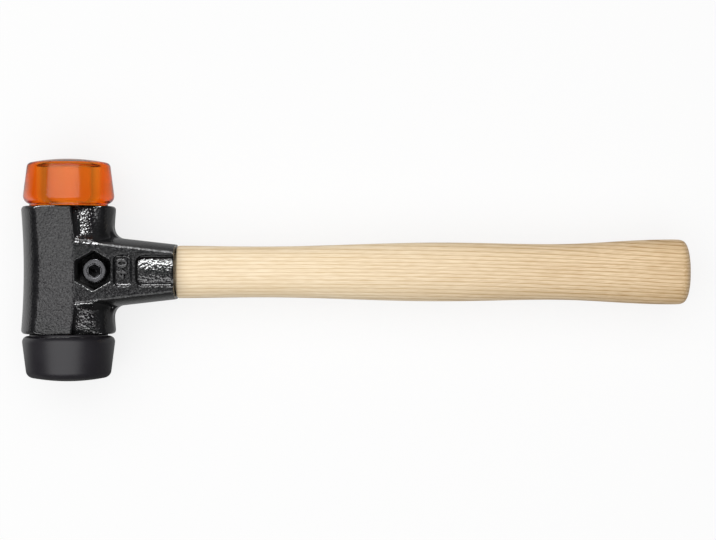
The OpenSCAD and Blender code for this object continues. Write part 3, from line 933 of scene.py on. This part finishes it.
# %% Finish: hickory, its rings
throat_x, ring_drop, ring_lean, slow_along = 95, 0.16, 0.05, 0.03
ring_gap, wander_by = 1.65, 1.3
wave_period = 0.314
hickory, tree = start_finish("lacquered_hickory")
place = add(tree, "TexCoord").outputs["Object"]
split = add(tree, "SeparateXYZ", None, {"Vector": place}).outputs
from_throat = reckon(tree, "SUBTRACT", split["X"], throat_x * MM)
drop = reckon(tree, "MULTIPLY", reckon(tree, "MULTIPLY", from_throat, from_throat), ring_drop)
lean = reckon(tree, "MULTIPLY", split["Z"], ring_lean)
ring_tilt = reckon(tree, "ADD", reckon(tree, "ADD", split["Y"], drop), lean)
slow_x = reckon(tree, "MULTIPLY", split["X"], slow_along)
along = add(tree, "CombineXYZ", None, {"X": slow_x, "Y": ring_tilt, "Z": split["Z"]}).outputs[0]
wander = remap(tree, noise(tree, along, 7, 2.0), (0, 1), (-wander_by * MM, wander_by * MM))
ring_place = add(tree, "CombineXYZ", None, {"Y": reckon(tree, "ADD", ring_tilt, wander)}).outputs[0]
rings = add(tree, "TexWave", {"wave_type": "BANDS", "bands_direction": "Y", "wave_profile": "SAW"},
            {"Vector": ring_place, "Scale": wave_period / (ring_gap * MM), "Distortion": 0.0})
ring_ramp = add(tree, "ValToRGB", None, {"Fac": rings.outputs["Fac"]})
first, last = ring_ramp.color_ramp.elements
first.color, last.color = (0.62, 0.62, 0.62, 1), (0.74, 0.74, 0.74, 1)
for position, grey in ((0.17, 0.0), (0.36, 0.62)):
    ring_ramp.color_ramp.elements.new(position).color = (grey, grey, grey, 1)
print(hickory.name, "has rings", ring_gap, "mm apart")

# %% [markdown]
# Over the rings lie short streaks of pores, stretched along the grain, and slow clouds of tone. The sum is
# read twice, once as pale cream and once as a warmer tan, and the wood changes slowly from the one at the
# neck to the other at the butt.

# %% Finish: hickory, its pores and tones
pore_stretch, cloud_stretch = 0.06, 0.12
pore_place = add(tree, "Mapping", None, {"Vector": place, "Scale": (pore_stretch, 1, 1)}).outputs[0]
pores = noise(tree, pore_place, 0.4, 1.0, 0.6)
pore_tone = remap(tree, pores, (0.35, 0.65), (-0.2, 0.16))
cloud_place = add(tree, "Mapping", None, {"Vector": place, "Scale": (cloud_stretch, 1, 1)}).outputs[0]
cloud_tone = remap(tree, noise(tree, cloud_place, 8, 3.0), (0, 1), (-0.25, 0.25))
with_pores = reckon(tree, "ADD", ring_ramp.outputs["Color"], pore_tone)
with_cloud = reckon(tree, "ADD", with_pores, cloud_tone)
pale = tones(tree, with_cloud, (0, "#dabd90"), (1, "#fbe9cb"))
tan = tones(tree, with_cloud, (0, "#b08954"), (1, "#e9cea6"))
to_butt = remap(tree, split["X"], (110 * MM, 270 * MM), (0, 1))
wood_tone = add(tree, "Mix", {"data_type": "RGBA"}, {0: to_butt, 6: pale, 7: tan}).outputs[2]
pore_bump = bump(tree, with_pores, 0.3, 0.03)
satin = remap(tree, pores, (0, 1), (0.52, 0.4))
wood = add(tree, "BsdfPrincipled", None, {"Base Color": wood_tone, "Roughness": satin, "Normal": pore_bump})
add(tree, "OutputMaterial", None, {"Surface": wood.outputs[0]})
print(hickory.name, "made of", len(tree.nodes), "nodes")

# %% [markdown]
# The handle swells from throat to belly, narrows to a waist and flares to the butt. Each swell is a share
# of the grip's length with the height and thickness there. Between them the section eases from one to the
# next, and the shoulder and the butt are rounded.

# %% Swells of the handle
handle_x, butt_x, butt_round, shoulder_r = 47.9, 265.3, 9.4, 1.2
grip_l = butt_x - handle_x
swells = [(0.0, 23.2, 19.0), (0.17, 22.5, 18.0), (0.537, 26.0, 20.6), (0.762, 24.6, 19.6), (1.0, 28.7, 22.6)]
butt_w, butt_t = swells[-1][1:]
shoulder_steps, grip_steps, butt_steps, butt_share = 6, 40, 12, 0.995


def section_at(x):
    share = (x - handle_x) / grip_l
    for (a, aw, at), (b, bw, bt) in zip(swells, swells[1:]):
        if share <= b:
            ease = (1 - math.cos(math.pi * (share - a) / (b - a))) / 2
            return aw + (bw - aw) * ease, at + (bt - at) * ease
    return butt_w, butt_t


stations = []
for i in range(shoulder_steps + 1):
    a = math.radians(90 * i / shoulder_steps)
    w, t = section_at(handle_x)
    inset = 2 * shoulder_r * (1 - math.sin(a))
    stations.append((handle_x + shoulder_r * (1 - math.cos(a)), w - inset, t - inset))
for i in range(1, grip_steps + 1):
    x = handle_x + shoulder_r + (grip_l - shoulder_r) * i / grip_steps
    stations.append((x, *section_at(x)))
for i in range(1, butt_steps + 1):
    u = butt_share * math.sin(math.radians(90 * i / butt_steps))
    k = math.sqrt(1 - u ** 6)
    stations.append((butt_x + u * butt_round, k * butt_w, k * butt_t))
print("handle:", len(stations), "rings from", stations[0], "to", [round(c, 2) for c in stations[-1]])

# %% [markdown]
# The section is an oval with flattened sides. A square plane with strongly bevelled corners gives that oval
# at once. It is then extruded along the handle from ring to ring, and each new ring is resized to its
# height and thickness.

# %% Handle, extruded ring by ring
corner_share = 0.4285
x0, w0, t0 = stations[0]


def middle_at(x):
    return (x * MM, handle_y, middle_z)


start_fresh()
bpy.ops.mesh.primitive_plane_add(size=1, location=middle_at(x0), rotation=(0, math.radians(90), 0))
hickory_handle = bpy.context.object
hickory_handle.name = "hickory_handle"
settle()
bpy.ops.object.mode_set(mode="EDIT")
bpy.ops.mesh.select_all(action="SELECT")
bpy.ops.mesh.bevel(affect="VERTICES", offset=corner_share, segments=8, profile=0.5)
bpy.ops.mesh.select_all(action="SELECT")
bpy.ops.transform.resize(value=(1, w0 * MM, t0 * MM), center_override=middle_at(x0))
for (xa, wa, ta), (xb, wb, tb) in zip(stations, stations[1:]):
    bpy.ops.mesh.extrude_region_move(TRANSFORM_OT_translate={"value": ((xb - xa) * MM, 0, 0)})
    bpy.ops.transform.resize(value=(1, wb / wa, tb / ta), center_override=middle_at(xb))
bpy.ops.mesh.select_all(action="SELECT")
bpy.ops.mesh.normals_make_consistent(inside=False)
print("grip:", len(bmesh.from_edit_mesh(hickory_handle.data).verts), "vertices")

# %% [markdown]
# Behind the shoulder the handle goes on as a tenon with a turned bulb that the two castings grip. The
# shoulder's end is inset and pulled round, then extruded in steps, and the bulb's flats are made by
# pressing the vertices above and below onto two planes. A subdivision sands the whole handle smooth.

# %% Tenon with its bulb
shoulder_inset, tenon_r, bulb_r, flat_half = 1.2, 8.4, 10.2, 7.5
shoulder_end = x0 * MM + 0.01 * MM
pick(lambda co: co.x < shoulder_end)
bpy.ops.mesh.inset(thickness=shoulder_inset * MM)
bpy.ops.transform.tosphere(value=1.0)
ring = [v.co.copy() for v in bmesh.from_edit_mesh(hickory_handle.data).verts if v.select]
mean_r = sum(math.hypot(c.y - handle_y, c.z - middle_z) for c in ring) / len(ring)
to_tenon = tenon_r * MM / mean_r
bpy.ops.transform.resize(value=(0, to_tenon, to_tenon), center_override=middle_at(x0))
tenon_steps = [(46.9, tenon_r), (41.0, tenon_r), (34.2, tenon_r), (33.2, 8.8), (31.4, 10.0), (30.6, bulb_r),
               (27.0, bulb_r), (23.2, bulb_r), (22.6, 9.6)]
at_x, at_r = x0, tenon_r
for x, r in tenon_steps:
    bpy.ops.mesh.extrude_region_move(TRANSFORM_OT_translate={"value": ((x - at_x) * MM, 0, 0)})
    bpy.ops.transform.resize(value=(1, r / at_r, r / at_r), center_override=middle_at(x))
    at_x, at_r = x, r
for side in (1, -1):
    flat_z = middle_z + side * flat_half * MM
    pick(lambda co: co.x < shoulder_end - 0.5 * MM and side * (co.z - flat_z) > 0)
    bpy.ops.transform.resize(value=(1, 1, 0), center_override=(0, 0, flat_z))
bpy.ops.mesh.select_all(action="SELECT")
bpy.ops.mesh.normals_make_consistent(inside=False)
bpy.ops.object.mode_set(mode="OBJECT")
sanded = hickory_handle.modifiers.new("sanded_smooth", "SUBSURF")
sanded.levels = 2
sanded.render_levels = 2
bpy.ops.object.modifier_apply(modifier=sanded.name)
finish_piece(hickory_handle, "handle", "rear_half", "hickory", hickory, angle=60)
